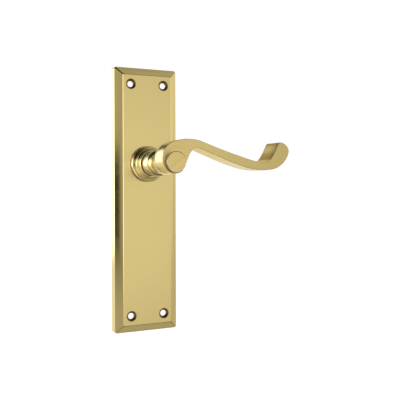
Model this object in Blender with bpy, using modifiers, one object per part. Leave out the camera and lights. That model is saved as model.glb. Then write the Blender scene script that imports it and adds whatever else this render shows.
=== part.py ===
"""A scroll lever handle on a plain long backplate, with its return spring mechanism.

Every piece is drawn in one local frame: +X towards the lever's tip, +Y up the door and
+Z out of the door, with the spindle's axis as the Z axis. Two empties on that axis carry
the fixed and the turning pieces, and turn the local frame so that world +Z is up and the
front of the handle faces world -Y. The door's face is the world plane Y = 0.
"""

import math

import bmesh
import bpy
from mathutils import Matrix, Vector

MM = 0.001

# Backplate
PLATE_WIDTH = 50 * MM
PLATE_LENGTH = 200 * MM
PLATE_EDGE = 7.3 * MM
PLATE_DEPTH = 11 * MM
PLATE_BORDER = 5.6 * MM
PLATE_CORNER = 1.8 * MM
PLATE_WALL = 2.4 * MM
PANEL_THICK = 2 * MM
PLATE_CENTRE = -27.1 * MM
SCREW_SPACING_X = 26.2 * MM
SCREW_SPACING_Y = 174.6 * MM
SCREW_HOLE_RADIUS = 2.2 * MM
COUNTERSINK_RADIUS = 3.8 * MM
COVER_POST_RADIUS = 3 * MM

# Lever arm
ARM_FRONT = 65.3 * MM
ARM_DEPTH = 18 * MM
ARM_BACK = ARM_FRONT - ARM_DEPTH
ARM_EDGE = 0.25 * MM
EYE_RADIUS = 7.3 * MM

# Turned pieces on the spindle's axis
DISC_FRONT = 65.8 * MM
SPIGOT_RADIUS = 7 * MM
SHANK_FOOT = 9 * MM
SHANK_WAIST = 7.4 * MM
BELL_RADIUS = 9.65 * MM
JOURNAL_RADIUS = 7 * MM
TAIL_END = -2.6 * MM
TAIL_FLAT = 5.8 * MM
CIRCLIP_GROOVE = 6.3 * MM
COLLAR_FRONT = 22.3 * MM
COLLAR_RADIUS = 13.5 * MM
COLLAR_BORE = 9 * MM
COLLAR_RECESS = 9.7 * MM

# Square spindle and its grub screw
SPINDLE_SIDE = 7.6 * MM
SPINDLE_INNER_END = 45 * MM
SPINDLE_OUTER_END = -40 * MM
SOCKET_SIDE = 8 * MM
GRUB_OUT = 42 * MM
GRUB_RADIUS = 2.3 * MM

# Return spring mechanism, inside the hollow of the plate
TRAY_WIDTH = 32 * MM
TRAY_LENGTH = 36 * MM
TRAY_FRONT = 8.7 * MM
TRAY_BACK = 1.7 * MM
TRAY_THICK = 1 * MM
COVER_LENGTH = 51 * MM
COVER_FRONT = 1.4 * MM
COVER_BACK = 0.2 * MM
COVER_SCREW_X = 11.5 * MM
COVER_SCREW_Y = 22 * MM
COVER_SCREW_RADIUS = 1.2 * MM
COVER_SCREW_TIP = 7.6 * MM
SHAFT_HOLE_RADIUS = 7.6 * MM
SPRING_RADIUS = 9.6 * MM
SPRING_WIRE = 1.4 * MM
SPRING_PITCH = 1.5 * MM
SPRING_FRONT = 6.8 * MM
SPRING_LEG = 9.5 * MM
SPRING_ENDS = (math.radians(69.5), math.radians(110.5))
PEG_RADIUS = 0.9 * MM
DRIVE_FRONT = 3 * MM
DRIVE_BACK = 1.7 * MM
STOP_ARM_WIDTH = 6 * MM
STOP_ARM_REACH = 14 * MM
STOP_PIN_RADIUS = 1.2 * MM
STOP_PIN_REACH = 11.1 * MM
LEVER_TRAVEL = math.radians(45)

# Gaps between pieces that would touch
GAP = 0.3 * MM
THIN_GAP = 0.15 * MM

# Sides of the round shapes, from large to small
TURN_STEPS = 48
HOLE_STEPS = 32
SMALL_STEPS = 24
PIN_STEPS = 16


def clear_scene():
    for obj in list(bpy.data.objects):
        bpy.data.objects.remove(obj)


def new_collection(name):
    collection = bpy.data.collections.new(name)
    bpy.context.scene.collection.children.link(collection)
    return collection


def new_axis_empty(name):
    """An empty on the spindle's axis, whose local +Z points out of the door."""
    empty = bpy.data.objects.new(name, None)
    empty.rotation_euler = (math.radians(90), 0, 0)
    empty.empty_display_size = 0.02
    pieces.objects.link(empty)
    return empty


def finish(name, colour, roughness, metallic):
    """A Principled material. The colour is linear RGB."""
    material = bpy.data.materials.new(name)
    material.use_nodes = True
    shader = material.node_tree.nodes["Principled BSDF"]
    shader.inputs["Base Color"].default_value = (*colour, 1)
    shader.inputs["Roughness"].default_value = roughness
    shader.inputs["Metallic"].default_value = metallic
    return material


def add_piece(name, data, body, material):
    """One named piece, carried by the empty of the body it belongs to."""
    piece = bpy.data.objects.new(name, data)
    piece.parent = body
    data.materials.clear()
    data.materials.append(material)
    pieces.objects.link(piece)
    return piece


def add_cutter(name, data, body):
    cutter = bpy.data.objects.new(name, data)
    cutter.parent = body
    cutter.hide_render = True
    cutter.display_type = "WIRE"
    cutters.objects.link(cutter)
    return cutter


def combine(piece, other, operation="DIFFERENCE"):
    boolean = piece.modifiers.new(other.name, "BOOLEAN")
    boolean.operation = operation
    boolean.solver = "EXACT"
    boolean.object = other


def bevel_edges(piece, width, segments=2, angle=40):
    bevel = piece.modifiers.new("eased edges", "BEVEL")
    bevel.width = width
    bevel.segments = segments
    bevel.limit_method = "ANGLE"
    bevel.angle_limit = math.radians(angle)


def mesh_from(name, shape):
    """The bmesh as a mesh with round stretches shaded smooth. The bmesh is freed."""
    bmesh.ops.recalc_face_normals(shape, faces=shape.faces)
    mesh = bpy.data.meshes.new(name)
    shape.to_mesh(mesh)
    shape.free()
    mesh.shade_smooth()
    mesh.set_sharp_from_angle(angle=math.radians(35))
    return mesh


def rods(name, radius, low, high, places, sides=TURN_STEPS, top_radius=None):
    """Upright rods, or cones, that reach from low to high at each (x, y) place."""
    shape = bmesh.new()
    for x, y in places:
        bmesh.ops.create_cone(
            shape,
            cap_ends=True,
            segments=sides,
            radius1=radius,
            radius2=radius if top_radius is None else top_radius,
            depth=high - low,
            matrix=Matrix.Translation((x, y, (low + high) / 2)),
        )
    return mesh_from(name, shape)


def box(name, low, high, turn=0):
    """A box between two corners, then turned about the spindle's axis."""
    low, high = Vector(low), Vector(high)
    shape = bmesh.new()
    size = Matrix.Diagonal((*(high - low), 1))
    place = Matrix.Rotation(turn, 4, "Z") @ Matrix.Translation((low + high) / 2)
    bmesh.ops.create_cube(shape, size=1, matrix=place @ size)
    return mesh_from(name, shape)


def turned_profile(name, profile, closed):
    """The edge chain of a turned piece, as (radius, out) pairs down its outer side."""
    mesh = bpy.data.meshes.new(name)
    points = [(radius, 0, out) for radius, out in profile]
    edges = [(i, i + 1) for i in range(len(points) - 1)]
    if closed:
        edges.append((len(points) - 1, 0))
    mesh.from_pydata(points, edges, [])
    return mesh


def turn(piece, steps=TURN_STEPS):
    screw = piece.modifiers.new("turn", "SCREW")
    screw.steps = steps
    screw.render_steps = steps
    screw.use_merge_vertices = True
    screw.merge_threshold = 0.01 * MM
    screw.use_smooth_shade = True


def add_turned(name, profile, body, material, closed=False, steps=TURN_STEPS):
    piece = add_piece(name, turned_profile(name, profile, closed), body, material)
    turn(piece, steps)
    return piece


def polar(radius, angle):
    return Vector((radius * math.cos(angle), radius * math.sin(angle)))


def arc(radius, start, end, count):
    """Points on a circle about the spindle's axis, from start to end."""
    return [polar(radius, start + (end - start) * i / (count - 1)) for i in range(count)]


def smooth_through(points, between=4):
    """A Catmull-Rom curve through the points, its ends included."""
    points = [Vector(point) for point in points]
    first = points[0] * 2 - points[1]
    last = points[-1] * 2 - points[-2]
    chain = [first, *points, last]
    curve = []
    for before, start, end, after in zip(chain, chain[1:], chain[2:], chain[3:]):
        for step in range(between):
            t = step / between
            curve.append(
                0.5
                * (
                    start * 2
                    + (end - before) * t
                    + (before * 2 - start * 5 + end * 4 - after) * t**2
                    + (start * 3 - before - end * 3 + after) * t**3
                )
            )
    return [*curve, points[-1]]


def flat_piece(name, outlines, low, high):
    """A flat sheet between two heights. Outlines after the first are holes in it."""
    curve = bpy.data.curves.new(name, "CURVE")
    curve.dimensions = "2D"
    curve.fill_mode = "BOTH"
    curve.extrude = (high - low) / 2
    for outline in outlines:
        spline = curve.splines.new("POLY")
        spline.points.add(len(outline) - 1)
        for point, (x, y) in zip(spline.points, outline):
            point.co = (x, y, 0, 1)
        spline.use_cyclic_u = True
    drawn = bpy.data.objects.new(name, curve)
    pieces.objects.link(drawn)
    bpy.context.view_layer.update()
    mesh = bpy.data.meshes.new_from_object(drawn.evaluated_get(bpy.context.evaluated_depsgraph_get()))
    bpy.data.objects.remove(drawn)
    bpy.data.curves.remove(curve)
    shape = bmesh.new()
    shape.from_mesh(mesh)
    bpy.data.meshes.remove(mesh)
    bmesh.ops.remove_doubles(shape, verts=shape.verts, dist=0.001 * MM)
    bmesh.ops.translate(shape, verts=shape.verts, vec=(0, 0, (low + high) / 2))
    return mesh_from(name, shape)


def raised_block(width, length, low, edge, full, border):
    """A block whose front slopes up from its rim, at edge, to a flat panel, at full."""
    shape = bmesh.new()
    place = Matrix.Translation((0, PLATE_CENTRE, (low + edge) / 2))
    size = Matrix.Diagonal((width, length, edge - low, 1))
    bmesh.ops.create_cube(shape, size=1, matrix=place @ size)
    shape.normal_update()
    front = [face for face in shape.faces if face.normal.z > 0.9]
    bmesh.ops.inset_region(shape, faces=front, thickness=border, depth=full - edge)
    return shape


def round_corners(shape, radius):
    """Rounds the four upright edges at the outside of a raised block."""
    upright = []
    for edge in shape.edges:
        run = edge.verts[1].co - edge.verts[0].co
        if Vector((run.x, run.y)).length < 0.01 * MM:
            upright.append(edge)
    bmesh.ops.bevel(shape, geom=upright, offset=radius, segments=3, profile=0.5, affect="EDGES")


def screw_places():
    return [
        (side * SCREW_SPACING_X / 2, PLATE_CENTRE + end * SCREW_SPACING_Y / 2)
        for side in (-1, 1)
        for end in (-1, 1)
    ]


def cover_screw_places():
    return [(x * COVER_SCREW_X, y * COVER_SCREW_Y) for x in (-1, 1) for y in (-1, 1)]


def make_backplate():
    """A hollow plate with a raised panel, screw holes and posts for the cover."""
    outer = raised_block(PLATE_WIDTH, PLATE_LENGTH, 0, PLATE_EDGE, PLATE_DEPTH, PLATE_BORDER)
    round_corners(outer, PLATE_CORNER)
    plate = add_piece("backplate", mesh_from("backplate", outer), fixed, brass)

    below = 1 * MM
    slope = (PLATE_DEPTH - PLATE_EDGE) / PLATE_BORDER
    panel_inside = PLATE_DEPTH - PANEL_THICK
    border = PLATE_BORDER - 1 * MM
    hollow = raised_block(
        PLATE_WIDTH - 2 * PLATE_WALL,
        PLATE_LENGTH - 2 * PLATE_WALL,
        -below,
        panel_inside - slope * border,
        panel_inside,
        border,
    )
    combine(plate, add_cutter("hollow", mesh_from("hollow", hollow), fixed))

    into_panel = panel_inside + PANEL_THICK / 2
    post_foot = COVER_FRONT + THIN_GAP
    posts = rods(
        "posts", COVER_POST_RADIUS, post_foot, into_panel, cover_screw_places(), SMALL_STEPS
    )
    combine(plate, add_cutter("posts", posts, fixed), "UNION")

    sink = COUNTERSINK_RADIUS - SCREW_HOLE_RADIUS
    profile = [
        (0, PLATE_DEPTH + below),
        (COUNTERSINK_RADIUS + below, PLATE_DEPTH + below),
        (SCREW_HOLE_RADIUS, PLATE_DEPTH - sink),
        (SCREW_HOLE_RADIUS, -below),
        (0, -below),
    ]
    for x, y in screw_places():
        hole = add_cutter("screw hole", turned_profile("screw hole", profile, False), fixed)
        hole.location = (x, y, 0)
        turn(hole, HOLE_STEPS)
        combine(plate, hole)
    pilot_radius, pilot_end = COVER_SCREW_RADIUS + GAP, COVER_SCREW_TIP + 0.7 * MM
    pilot = rods("pilot holes", pilot_radius, 0, pilot_end, cover_screw_places(), PIN_STEPS)
    combine(plate, add_cutter("pilot holes", pilot, fixed))
    opening = rods("collar hole", COLLAR_BORE + 1.5 * MM, -below, PLATE_DEPTH + below, [(0, 0)])
    combine(plate, add_cutter("collar hole", opening, fixed))


def make_rose_collar():
    """The stepped turned collar on the plate. The neck turns inside it."""
    seat = PLATE_DEPTH + 0.2 * MM
    spigot = COLLAR_BORE + 1.2 * MM
    profile = [
        (COLLAR_RECESS, COLLAR_FRONT),
        (10.4 * MM, COLLAR_FRONT),
        (10.85 * MM, 21.95 * MM),
        (10.95 * MM, 21.5 * MM),
        (10.75 * MM, 21.0 * MM),
        (10.55 * MM, 20.6 * MM),
        (11.2 * MM, 20.2 * MM),
        (11.7 * MM, 19.6 * MM),
        (11.75 * MM, 18.9 * MM),
        (11.4 * MM, 18.2 * MM),
        (11.2 * MM, 17.4 * MM),
        (11.4 * MM, 16.4 * MM),
        (11.9 * MM, 15.6 * MM),
        (12.6 * MM, 15.0 * MM),
        (13.2 * MM, 14.3 * MM),
        (COLLAR_RADIUS, 13.2 * MM),
        (13.3 * MM, 12.0 * MM),
        (13.0 * MM, seat),
        (spigot, seat),
        (spigot, 9.4 * MM),
        (COLLAR_BORE, 9.4 * MM),
        (COLLAR_BORE, 20 * MM),
        (COLLAR_RECESS, 20 * MM),
    ]
    add_turned("rose_collar", profile, fixed, brass, closed=True)


def make_bearing_bush():
    """A flanged nylon bush pressed in the collar. The neck's journal runs in it."""
    outside = COLLAR_BORE - GAP
    inside = JOURNAL_RADIUS + GAP
    profile = [
        (inside + 0.3 * MM, 21 * MM),
        (COLLAR_RECESS - GAP, 21 * MM),
        (COLLAR_RECESS - GAP, 20.3 * MM),
        (outside, 20.3 * MM),
        (outside, 9.4 * MM),
        (inside + 0.3 * MM, 9.4 * MM),
        (inside, 9.8 * MM),
        (inside, 20.6 * MM),
    ]
    add_turned("bearing_bush", profile, fixed, nylon, closed=True)


def make_wave_washer():
    """A thin three-wave spring washer that takes up the end float of the neck."""
    waves, lift, middle = 3, 0.3 * MM, 21.8 * MM
    shape = bmesh.new()
    for radius in (JOURNAL_RADIUS + 0.5 * MM, COLLAR_RECESS - 0.5 * MM):
        bmesh.ops.create_circle(shape, segments=TURN_STEPS, radius=radius)
    bmesh.ops.bridge_loops(shape, edges=list(shape.edges))
    for vert in shape.verts:
        vert.co.z = middle + lift * math.sin(waves * math.atan2(vert.co.y, vert.co.x))
    bmesh.ops.recalc_face_normals(shape, faces=shape.faces)
    mesh = bpy.data.meshes.new("wave_washer")
    shape.to_mesh(mesh)
    shape.free()
    washer = add_piece("wave_washer", mesh, fixed, spring_steel)
    thickness = washer.modifiers.new("sheet", "SOLIDIFY")
    thickness.thickness = 0.3 * MM
    thickness.offset = 0


def make_neck():
    """The turned neck: front disc, shank, bell, and the journal with its flatted tail."""
    chamfer = 0.3 * MM
    shoulder = COLLAR_FRONT + GAP
    profile = [
        (0, DISC_FRONT),
        (SPIGOT_RADIUS - chamfer, DISC_FRONT),
        (SPIGOT_RADIUS, DISC_FRONT - chamfer),
        (SPIGOT_RADIUS, ARM_BACK - GAP),
        (SHANK_FOOT, ARM_BACK - GAP),
        (8.6 * MM, 44.6 * MM),
        (SHANK_WAIST, 37.2 * MM),
        (7.8 * MM, 35.4 * MM),
        (8.8 * MM, 35.1 * MM),
        (9.4 * MM, 34.4 * MM),
        (BELL_RADIUS, 32.6 * MM),
        (BELL_RADIUS, 27.0 * MM),
        (9.4 * MM, 25.0 * MM),
        (8.9 * MM, 23.7 * MM),
        (8.95 * MM, 23.1 * MM),
        (9.4 * MM, shoulder),
        (JOURNAL_RADIUS, shoulder),
        (JOURNAL_RADIUS, -0.95 * MM),
        (CIRCLIP_GROOVE, -0.95 * MM),
        (CIRCLIP_GROOVE, -1.95 * MM),
        (JOURNAL_RADIUS, -1.95 * MM),
        (JOURNAL_RADIUS, TAIL_END + chamfer),
        (JOURNAL_RADIUS - chamfer, TAIL_END),
        (0, TAIL_END),
    ]
    neck = add_turned("neck", profile, turning, brass)

    beyond = 1 * MM
    half = SOCKET_SIDE / 2
    socket = box(
        "socket", (-half, -half, TAIL_END - beyond), (half, half, SPINDLE_INNER_END + GAP)
    )
    combine(neck, add_cutter("socket", socket, turning))
    far = 12 * MM
    for side in (-1, 1):
        near_x, far_x = side * TAIL_FLAT, side * far
        low = (min(near_x, far_x), -far, TAIL_END - beyond)
        high = (max(near_x, far_x), far, DRIVE_FRONT + GAP)
        combine(neck, add_cutter("tail flat", box("tail flat", low, high), turning))
    grub_hole = rods("grub hole", GRUB_RADIUS + 0.2 * MM, 3 * MM, far, [(0, 0)], SMALL_STEPS)
    hole = add_cutter("grub hole", grub_hole, turning)
    hole.matrix_local = grub_place()
    combine(neck, hole)


def grub_place():
    """The frame of the grub screw, whose +Z points straight down from the spindle."""
    return Matrix.Translation((0, 0, GRUB_OUT)) @ Matrix.Rotation(math.radians(90), 4, "X")


def scroll_radius(angle):
    """The outer radius of the scroll that winds round the neck's disc."""
    start, quarter = math.radians(315), math.radians(90)
    wound = (start - angle) / (start - quarter)
    return (7.6 + 7.4 * wound**2) * MM


def arm_outline():
    """The lever's outline, clockwise from the thin end of the scroll under the disc."""
    scroll_end, scroll_top = math.radians(288), math.radians(80)
    count = 20
    angles = [scroll_end + (scroll_top - scroll_end) * i / count for i in range(count + 1)]
    scroll = [polar(scroll_radius(angle), angle) for angle in angles]
    top_edge = [
        (8.3, 16.2), (17.5, 15.3), (31.7, 10.5), (46.5, 5.9), (61.0, 1.8),
        (68.5, 0.9), (74.6, 2.2), (78.5, 6.9), (82.3, 14.0),
    ]  # fmt: skip
    tip = [
        (84.0, 15.4), (87.2, 14.8), (90.6, 12.2), (91.8, 8.8), (89.9, 3.8), (86.3, -0.4),
        (80.5, -3.8),
    ]  # fmt: skip
    lower_edge = [
        (73.2, -5.1), (65.6, -5.1), (54.1, -3.1), (42.5, 0.6), (28.1, 6.0), (20.5, 8.8),
        (16.4, 9.9), (13.6, 9.3), (11.1, 6.9), (9.2, 3.4), (7.8, -0.3),
    ]  # fmt: skip
    through = [Vector(point) * MM for point in (*top_edge, *tip, *lower_edge)]
    free_side = smooth_through([scroll[-1], *through])[1:]
    eye_start = math.radians(-3)
    eye = arc(EYE_RADIUS, eye_start, scroll_end, 33)
    return [*scroll, *free_side, *eye]


def make_lever_arm():
    """A flat scroll bar that winds round the neck's disc and curls up at its tip."""
    mesh = flat_piece("lever_arm", [arm_outline()], ARM_BACK, ARM_FRONT)
    arm = add_piece("lever_arm", mesh, turning, brass)
    bevel_edges(arm, ARM_EDGE, segments=1, angle=60)


def make_spindle():
    half = SPINDLE_SIDE / 2
    bar = box("spindle", (-half, -half, SPINDLE_OUTER_END), (half, half, SPINDLE_INNER_END))
    spindle = add_piece("spindle", bar, turning, plated_steel)
    bevel_edges(spindle, 0.5 * MM, segments=1)


def make_grub_screw():
    """The socket grub screw under the neck, which clamps the spindle."""
    inner, outer = SPINDLE_SIDE / 2 + 0.2 * MM, 7.5 * MM
    profile = [
        (0, outer),
        (GRUB_RADIUS - 0.3 * MM, outer),
        (GRUB_RADIUS, outer - 0.3 * MM),
        (GRUB_RADIUS, inner + 0.5 * MM),
        (GRUB_RADIUS - 0.6 * MM, inner),
        (0, inner),
    ]
    grub = add_turned("grub_screw", profile, turning, dark_steel, steps=SMALL_STEPS)
    grub.matrix_local = grub_place()
    key_radius, key_depth = 1.45 * MM, 1.6 * MM
    key = rods("key socket", key_radius, outer - key_depth, outer + key_depth, [(0, 0)], 6)
    cutter = add_cutter("key socket", key, turning)
    cutter.matrix_local = grub_place()
    combine(grub, cutter)


def make_spring_tray():
    """The pressed steel tray that holds the return spring behind the panel."""
    shape = bmesh.new()
    size = Matrix.Diagonal((TRAY_WIDTH, TRAY_LENGTH, TRAY_FRONT - TRAY_BACK, 1))
    place = Matrix.Translation((0, 0, (TRAY_FRONT + TRAY_BACK) / 2))
    bmesh.ops.create_cube(shape, size=1, matrix=place @ size)
    upright = [edge for edge in shape.edges if abs(edge.verts[0].co.z - edge.verts[1].co.z) > MM]
    bmesh.ops.bevel(shape, geom=upright, offset=2.5 * MM, segments=4, profile=0.5, affect="EDGES")
    shape.normal_update()
    back = [face for face in shape.faces if face.normal.z < -0.9]
    bmesh.ops.delete(shape, geom=back, context="FACES")
    mesh = bpy.data.meshes.new("spring_tray")
    shape.to_mesh(mesh)
    shape.free()
    tray = add_piece("spring_tray", mesh, fixed, plated_steel)
    sheet = tray.modifiers.new("sheet", "SOLIDIFY")
    sheet.thickness = TRAY_THICK
    sheet.offset = -1
    sheet.use_even_offset = True
    shaft = rods("tray shaft hole", SHAFT_HOLE_RADIUS, 5 * MM, 10 * MM, [(0, 0)])
    combine(tray, add_cutter("tray shaft hole", shaft, fixed))
    pin = rods("anchor hole", PEG_RADIUS + THIN_GAP, 5 * MM, 10 * MM, [anchor_place()], PIN_STEPS)
    combine(tray, add_cutter("anchor hole", pin, fixed))


def leg_side(end_angle, turning_way):
    """Where a peg bears on the outer side of a spring leg, near the leg's end."""
    outward = polar(1, end_angle)
    along = Vector((-outward.y, outward.x)) * turning_way
    clear = SPRING_RADIUS + SPRING_WIRE / 2 + PEG_RADIUS + THIN_GAP
    return outward * clear + along * (SPRING_LEG - 1.5 * MM)


def anchor_place():
    return leg_side(SPRING_ENDS[0], 1)


def drive_peg_place():
    return leg_side(SPRING_ENDS[1], -1)


def spring_centreline():
    """Two tangential legs joined by a helix that winds clockwise towards the door."""
    front, back = SPRING_ENDS
    sweep = front - back + 2 * math.tau
    count = 44
    points = []
    first_leg = polar(SPRING_RADIUS, front) + polar(SPRING_LEG, front + math.pi / 2)
    points.append((*first_leg, SPRING_FRONT))
    for i in range(count + 1):
        angle = front - sweep * i / count
        out = SPRING_FRONT - SPRING_PITCH * sweep / math.tau * i / count
        points.append((*polar(SPRING_RADIUS, angle), out))
    last_leg = polar(SPRING_RADIUS, back) + polar(SPRING_LEG, back - math.pi / 2)
    points.append((*last_leg, points[-1][2]))
    return points


def make_torsion_spring():
    curve = bpy.data.curves.new("torsion_spring", "CURVE")
    curve.dimensions = "3D"
    curve.bevel_depth = SPRING_WIRE / 2
    curve.bevel_resolution = 2
    curve.use_fill_caps = True
    spline = curve.splines.new("POLY")
    centreline = spring_centreline()
    spline.points.add(len(centreline) - 1)
    for point, place in zip(spline.points, centreline):
        point.co = (*place, 1)
    add_piece("torsion_spring", curve, fixed, spring_steel)


def make_anchor_pin():
    """The pin riveted in the tray that the spring's front leg bears on."""
    rod = rods("anchor_pin", PEG_RADIUS, 5.5 * MM, 8.5 * MM, [anchor_place()], PIN_STEPS)
    add_piece("anchor_pin", rod, fixed, plated_steel)


def make_drive_plate():
    """The plate on the neck's tail, with the stop arm and the lug for the spring peg."""
    disc = rods("drive_plate", 9 * MM, DRIVE_BACK, DRIVE_FRONT, [(0, 0)])
    plate = add_piece("drive_plate", disc, turning, plated_steel)
    half = STOP_ARM_WIDTH / 2
    peg = drive_peg_place()
    heading = math.atan2(peg.y, peg.x)
    lug_half, lug_reach = 2.2 * MM, peg.length + PEG_RADIUS + 0.2 * MM
    inner = 7.5 * MM
    stop_arm = box(
        "stop arm", (-half, -STOP_ARM_REACH, DRIVE_BACK), (half, -inner, DRIVE_FRONT)
    )
    combine(plate, add_cutter("stop arm", stop_arm, turning), "UNION")
    lug = box("lug", (inner, -lug_half, DRIVE_BACK), (lug_reach, lug_half, DRIVE_FRONT), heading)
    combine(plate, add_cutter("lug", lug, turning), "UNION")

    shape = bmesh.new()
    bmesh.ops.create_cone(
        shape,
        cap_ends=True,
        segments=TURN_STEPS,
        radius1=JOURNAL_RADIUS + 0.2 * MM,
        radius2=JOURNAL_RADIUS + 0.2 * MM,
        depth=6 * MM,
        matrix=Matrix.Translation((0, 0, (DRIVE_BACK + DRIVE_FRONT) / 2)),
    )
    flat = TAIL_FLAT + 0.2 * MM
    for vert in shape.verts:
        vert.co.x = max(-flat, min(flat, vert.co.x))
    bmesh.ops.remove_doubles(shape, verts=shape.verts, dist=0.001 * MM)
    combine(plate, add_cutter("tail hole", mesh_from("tail hole", shape), turning))
    hole = rods("peg hole", PEG_RADIUS + THIN_GAP, 0, 5 * MM, [peg], PIN_STEPS)
    combine(plate, add_cutter("peg hole", hole, turning))


def make_drive_peg():
    """The peg riveted in the drive plate that winds the spring's back leg."""
    foot = DRIVE_BACK + 0.05 * MM
    rod = rods("drive_peg", PEG_RADIUS, foot, 5 * MM, [drive_peg_place()], PIN_STEPS)
    add_piece("drive_peg", rod, turning, plated_steel)


def stop_pin_places():
    """Beside the stop arm at rest, and on its other side at the full travel."""
    aside = STOP_ARM_WIDTH / 2 + STOP_PIN_RADIUS + GAP
    rest = Vector((aside, -STOP_PIN_REACH))
    full = Vector((-aside, -STOP_PIN_REACH))
    full.rotate(Matrix.Rotation(-LEVER_TRAVEL, 2))
    return {"stop_pin_rest": rest, "stop_pin_full": full}


def make_stop_pins():
    for name, place in stop_pin_places().items():
        rod = rods(name, STOP_PIN_RADIUS, COVER_BACK + 0.05 * MM, 4 * MM, [place], PIN_STEPS)
        add_piece(name, rod, fixed, plated_steel)


def make_mechanism_cover():
    """The plate screwed over the tray, which carries the stop pins."""
    half_x, half_y = TRAY_WIDTH / 2, COVER_LENGTH / 2
    shape = bmesh.new()
    size = Matrix.Diagonal((2 * half_x, 2 * half_y, COVER_FRONT - COVER_BACK, 1))
    place = Matrix.Translation((0, 0, (COVER_FRONT + COVER_BACK) / 2))
    bmesh.ops.create_cube(shape, size=1, matrix=place @ size)
    upright = [e for e in shape.edges if abs(e.verts[0].co.z - e.verts[1].co.z) > 0.5 * MM]
    bmesh.ops.bevel(shape, geom=upright, offset=4 * MM, segments=5, profile=0.5, affect="EDGES")
    cover = add_piece("mechanism_cover", mesh_from("mechanism_cover", shape), fixed, plated_steel)
    beyond = 1 * MM
    shaft = rods(
        "cover shaft hole", SHAFT_HOLE_RADIUS, COVER_BACK - beyond, COVER_FRONT + beyond, [(0, 0)]
    )
    combine(cover, add_cutter("cover shaft hole", shaft, fixed))
    pins = rods(
        "pin holes",
        STOP_PIN_RADIUS + THIN_GAP,
        -beyond,
        3 * MM,
        stop_pin_places().values(),
        PIN_STEPS,
    )
    combine(cover, add_cutter("pin holes", pins, fixed))
    sink = rods(
        "cover screw holes",
        2.9 * MM,
        COVER_BACK - 0.2 * MM,
        COVER_FRONT + 0.1 * MM,
        cover_screw_places(),
        SMALL_STEPS,
        top_radius=1.45 * MM,
    )
    combine(cover, add_cutter("cover screw holes", sink, fixed))


def cover_screw_mesh():
    """A countersunk cross-recessed screw, its head's face at the cover's back."""
    head, face = 2.35 * MM, COVER_BACK + 0.05 * MM
    profile = [
        (0, COVER_SCREW_TIP),
        (0.7 * MM, COVER_SCREW_TIP),
        (COVER_SCREW_RADIUS, COVER_SCREW_TIP - 0.7 * MM),
        (COVER_SCREW_RADIUS, face + 1.25 * MM),
        (head, face + 0.1 * MM),
        (head, face),
        (0, face),
    ]
    master = add_turned("screw", profile, fixed, plated_steel, steps=SMALL_STEPS)
    long, thin, deep = 1.4 * MM, 0.3 * MM, 0.75 * MM
    for i, (x, y) in enumerate(((long, thin), (thin, long))):
        slot = box(f"cross {i}", (-x, -y, face - 1 * MM), (x, y, face + deep))
        combine(master, add_cutter(f"cross {i}", slot, fixed))
    bpy.context.view_layer.update()
    graph = bpy.context.evaluated_depsgraph_get()
    mesh = bpy.data.meshes.new_from_object(master.evaluated_get(graph))
    bpy.data.objects.remove(master)
    return mesh


def make_cover_screws():
    mesh = cover_screw_mesh()
    for i, (x, y) in enumerate(cover_screw_places(), 1):
        screw = add_piece(f"cover_screw_{i}", mesh, fixed, plated_steel)
        screw.location = (x, y, 0)


def make_thrust_washer():
    inner, outer = JOURNAL_RADIUS + GAP, 10.4 * MM
    front, back = -0.1 * MM, -0.8 * MM
    profile = [(inner, front), (outer, front), (outer, back), (inner, back)]
    add_turned("thrust_washer", profile, turning, nylon, closed=True)


def make_circlip():
    """The external retaining ring in the groove of the neck's tail."""
    inner, opening = 6.45 * MM, math.radians(18)
    start, end = -math.pi / 2 + opening, 1.5 * math.pi - opening
    count = 31
    inside = arc(inner, start, end, count)
    outside = []
    for i in range(count):
        angle = end + (start - end) * i / (count - 1)
        width = 1.3 * MM + 0.6 * MM * math.sin(angle)
        outside.append(polar(inner + width, angle))
    lug_reach = inner + 2.9 * MM
    lug = math.radians(15)
    ring = [*inside, polar(lug_reach, end), polar(lug_reach, end - lug), *outside[4:-4]]
    ring += [polar(lug_reach, start + lug), polar(lug_reach, start)]
    hole_circle = inner + 1.7 * MM
    holes = []
    for angle in (start + lug / 2, end - lug / 2):
        centre = polar(hole_circle, angle)
        holes.append([centre + polar(0.5 * MM, math.tau * i / 12) for i in range(12)])
    mesh = flat_piece("circlip", [ring, *holes], -1.8 * MM, -1.1 * MM)
    add_piece("circlip", mesh, turning, spring_steel)


clear_scene()
pieces = new_collection("scroll_lever_handle")
cutters = new_collection("cutters")
cutters.hide_render = True
fixed = new_axis_empty("fixed_pieces")
turning = new_axis_empty("turning_pieces")

brass = finish("polished_brass", (0.70, 0.50, 0.19), 0.12, 1.0)
plated_steel = finish("zinc_plated_steel", (0.62, 0.63, 0.65), 0.32, 1.0)
spring_steel = finish("spring_steel", (0.30, 0.30, 0.31), 0.30, 1.0)
dark_steel = finish("blackened_steel", (0.06, 0.06, 0.07), 0.40, 1.0)
nylon = finish("white_nylon", (0.78, 0.76, 0.70), 0.45, 0.0)

make_backplate()
make_rose_collar()
make_bearing_bush()
make_wave_washer()
make_spring_tray()
make_torsion_spring()
make_anchor_pin()
make_mechanism_cover()
make_stop_pins()
make_cover_screws()
make_neck()
make_lever_arm()
make_spindle()
make_grub_screw()
make_drive_plate()
make_drive_peg()
make_thrust_washer()
make_circlip()
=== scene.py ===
"""The looks of a scroll lever handle on a plain long backplate: meshes, finishes and studio.

The row frame has its origin on the spindle's axis, at the door's face. +X runs towards the
lever's tip, +Z up the door, and the front of the handle faces -Y. Places on the object are
given as (x, up, out), where out is the height above the door's face.
"""

import math

import bmesh
import bpy
from mathutils import Matrix, Vector


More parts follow.
